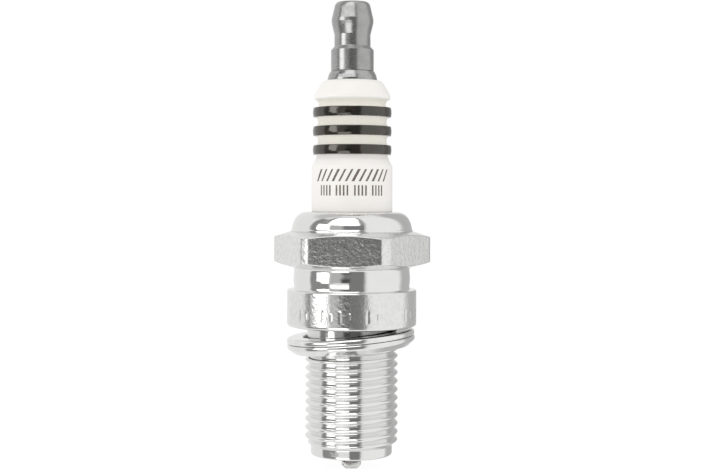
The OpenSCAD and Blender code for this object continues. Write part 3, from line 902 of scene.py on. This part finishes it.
def turned_nut():
    """Terminal nut: foot, waist, belly and crown outside, and a grooved hole inside."""
    waist_r = NUT_R - 0.5
    belly_r = NUT_R - 0.06
    hole_r = STUD_R + 0.05
    foot_top = NUT_LOW + 3.1
    belly = NUT_TOP - 2.95
    outside = rounded([(hole_r + 0.2, NUT_LOW), (NUT_R, NUT_LOW, 0.12), (NUT_R, foot_top + 0.08, 0.05),
                       (waist_r + 0.02, foot_top + 0.62, 0.1), (waist_r, belly - 1.9, 0.5),
                       (belly_r - 0.1, belly - 0.5, 0.3), (belly_r, belly, 0.25),
                       (belly_r - 0.02, belly + 0.45, 0.2), (NUT_R - 0.49, NUT_TOP - 0.7)], 6)
    top = arc(NUT_R - 1.08, NUT_TOP - 0.9, 0.6, 0.9, 15, 78, 10)
    mouth = rounded([tuple(top[-1]), (hole_r + 0.18, NUT_TOP, 0.08), (hole_r, NUT_TOP - 0.2)])
    bore_z = np.arange(NUT_TOP - 0.25, NUT_LOW + 0.2, -0.05)
    bore = np.column_stack([np.full(len(bore_z), -1.0), bore_z])
    outline = np.concatenate([dense(outside, 0.25), top, mouth[1:], bore, [(hole_r, NUT_LOW + 0.2)]])

    def change(r, z, angle):
        """Grooves deepen the hole where the stud's crests run, so the two threads never meet."""
        height = helix(z, angle, STUD_TOP - 1, STUD_PITCH, STUD_R, STUD_ROOT_R) - STUD_ROOT_R
        fade = smooth_step(z, NUT_LOW + 0.25, NUT_LOW + 0.8)
        fade = fade * (1 - smooth_step(z, NUT_TOP - 0.7, NUT_TOP - 0.2))
        return np.where(r < 0, hole_r + 0.7 * height * fade, r), z

    corners, faces = spin(outline, STUD_COLUMNS, True, change)
    put("turned_nut", corners, faces, paints["nut_steel"], "terminal_nut", ["terminal_nut"])


# ---- Ground strap ----


def ground_strap():
    """Strap swept along its bend, its corners rounded, its foot flared into the weld on the shell."""
    low, high = box_mm("ground_electrode")
    half_w = (high[0] - low[0]) / 2
    thick, inner_bend = 1.25, 0.55
    bend = inner_bend + thick / 2
    level = low[2] + thick / 2
    upright = high[1] - thick / 2
    flat = [(y, level) for y in np.linspace(low[1], upright - bend, 26)]
    turn = [(upright - bend + bend * math.sin(a), level + bend - bend * math.cos(a))
            for a in np.linspace(0, math.pi / 2, 14)[1:]]
    rise = [(upright, z) for z in np.linspace(level + bend, SHELL_END + 0.05, 8)[1:]]
    path = np.array(flat + turn + rise)
    ahead = np.gradient(path, axis=0)
    ahead /= np.linalg.norm(ahead, axis=1)[:, None]
    out = np.column_stack([ahead[:, 1], -ahead[:, 0]])
    section = rounded([(-half_w, thick / 2, 0.16), (-half_w, -0.1, 0.5), (-half_w + 0.55, -thick / 2, 0.5),
                       (half_w - 0.55, -thick / 2, 0.5), (half_w, -0.1, 0.5), (half_w, thick / 2, 0.16)],
                      5, True)
    section = dense(section, 0.2, True)
    # The free end's edges are rounded, and the foot widens into the weld.
    grow = np.ones(len(path))
    grow[:3] = (0.9, 0.965, 0.99)
    grow[-4:] = (1.0, 1.02, 1.06, 1.14)
    corners = []
    for (y, z), (side_y, side_z), size in zip(path, out, grow):
        for x, t in section * size:
            corners.append([x, y - side_y * t, z - side_z * t])
    corners = np.array(corners)
    count = len(section)
    faces = []
    for i in range(len(path) - 1):
        for j in range(count):
            k = (j + 1) % count
            faces.append([i * count + j, i * count + k, (i + 1) * count + k, (i + 1) * count + j])
    faces.append(list(range(count))[::-1])
    faces.append([(len(path) - 1) * count + j for j in range(count)])
    put("ground_strap", corners, faces, paints["nickel_alloy"], "plug",
        ["ground_electrode"])


steel_shell()
folded_gasket()
ceramic_insulator()
glaze_bands()
insulator_print()
threaded_stud()
turned_nut()
ground_strap()


# ---- CAD nodes that keep their own shape ----

for part in frame["record"]["subparts"]:
    node = frame["nodes"][part["node"]]
    node.data.materials.clear()
    node.data.materials.append(paints[part["material_slot"]])


# ---- Studio: the camera sees a white room, and the metal sees the cards and the soft box ----

# Each card is ((azimuth, half its width, elevation, half its height, softness) in degrees, brightness).
# Azimuth 0 is towards the camera and negative to its left. A later card covers an earlier one.
WALL = 0.87
CARDS = [
    ((-130, 42, 64, 16, 8), 0.6),  # high behind the plug, on the left
    ((72, 40, 0, 70, 6), 0.93),  # right wall
    ((140, 28, 0, 60, 10), 0.5),  # behind the plug, on the right
    ((-67, 22, 12, 42, 4), 0.28),  # dark surround of the soft box
    ((-30, 14, 8, 26, 4), 0.5),  # grey between the soft box and the camera
    ((4, 22, 1, 37, 5), 0.22),  # dark room round the camera
    ((-12, 9, -2, 7, 4), 0.09),  # the camera itself
    ((-20, 48, 54, 22, 4), 0.36),  # dark frame of the overhead light
    ((-59, 13, 10.5, 19.5, 2.5), 2.5),  # soft box
    ((-69, 6.5, -13, 9, 3), 0.28),  # notch in the soft box's low corner
    ((-18, 34, 51.5, 21.5, 3), 1.9),  # overhead light
    ((-24, 18, -26, 12, 3), 2.2),  # bright table top
    ((-21, 15, -12.5, 3.5, 2), 0.9),  # table's front edge
]


def window(sky, azimuth, elevation, card):
    """1 where the direction points at a card, falling off smoothly at its edges."""
    middle, half, height, half_height, soft = card
    across = sky.math("ABSOLUTE", sky.math("SUBTRACT", azimuth, float(middle)))
    up = sky.math("ABSOLUTE", sky.math("SUBTRACT", elevation, float(height)))
    across = sky.curve(across, half - soft, half + soft, 1.0, 0.0)
    up = sky.curve(up, half_height - soft, half_height + soft, 1.0, 0.0)
    return sky.math("MULTIPLY", across, up)


def studio():
    """World whose light depends on the ray: cards for the metal, an even glow for the rest, white behind."""
    world = bpy.data.worlds.new("studio")
    bpy.context.scene.world = world
    world.use_nodes = True
    world.cycles.sampling_method = "NONE"
    sky = Nodes(world.node_tree)
    direction = sky.node("ShaderNodeTexCoord").outputs["Generated"]
    x, y, z = sky.split(direction)
    degrees = 180 / math.pi
    azimuth = sky.math("MULTIPLY", sky.math("ARCTAN2", x, sky.math("MULTIPLY", y, -1.0)), degrees)
    elevation = sky.math("MULTIPLY", sky.math("ARCSINE", z), degrees)
    light = WALL
    for card, brightness in CARDS:
        share = window(sky, azimuth, elevation, card)
        light = sky.math("ADD", sky.math("MULTIPLY", share, brightness),
                         sky.math("MULTIPLY", sky.math("SUBTRACT", 1.0, share), light))
    rays = sky.node("ShaderNodeLightPath").outputs
    diffuse = rays["Is Diffuse Ray"]
    glow = sky.curve(azimuth, -120.0, 120.0, 1.07, 0.95)
    light = sky.math("ADD", sky.math("MULTIPLY", diffuse, glow),
                     sky.math("MULTIPLY", sky.math("SUBTRACT", 1.0, diffuse), light))
    light = sky.math("MAXIMUM", light, rays["Is Camera Ray"])
    world.node_tree.links.new(light, world.node_tree.nodes["Background"].inputs["Color"])


def floor():
    """Pale floor just under the strap. It takes a faint contact shadow and isn't seen in the metal."""
    paint = Paint("pale_floor")
    glow = paint.blend(paint.noise(0.02, 2), (0.995, 0.995, 0.995), (1.0, 1.0, 1.0))
    paint.set(Base_Color=(0.08, 0.08, 0.08, 1), Roughness=0.9, Specular_IOR_Level=0.0)
    paint.set(Emission_Color=glow, Emission_Strength=0.95)
    size_m, gap_m = 3.0, 0.00005
    level = cad_box[0][2] - gap_m
    corners = [(x * size_m, y * size_m, level) for x, y in ((-1, -1), (1, -1), (1, 1), (-1, 1))]
    mesh = bpy.data.meshes.new("floor")
    mesh.from_pydata(corners, [], [(0, 1, 2, 3)])
    mesh.materials.append(paint.material)
    obj = bpy.data.objects.new("floor", mesh)
    bpy.context.scene.collection.objects.link(obj)
    obj.visible_glossy = False
    obj.visible_diffuse = False


def camera():
    """Level with the insulator's body, and shifted down so that the whole plug is in frame."""
    distance_m, height_m, aside_m = 0.194, 0.0196, 0.00007
    data = bpy.data.cameras.new("camera")
    data.lens = 66.6
    data.sensor_width = 36
    data.shift_y = -0.0582
    data.clip_start = 0.01
    obj = bpy.data.objects.new("camera", data)
    obj.location = (aside_m, -distance_m, height_m)
    obj.rotation_euler = (math.pi / 2, -0.0028, 0)
    bpy.context.scene.collection.objects.link(obj)
    bpy.context.scene.camera = obj


studio()
floor()
camera()
bpy.context.scene.view_settings.view_transform = "Standard"
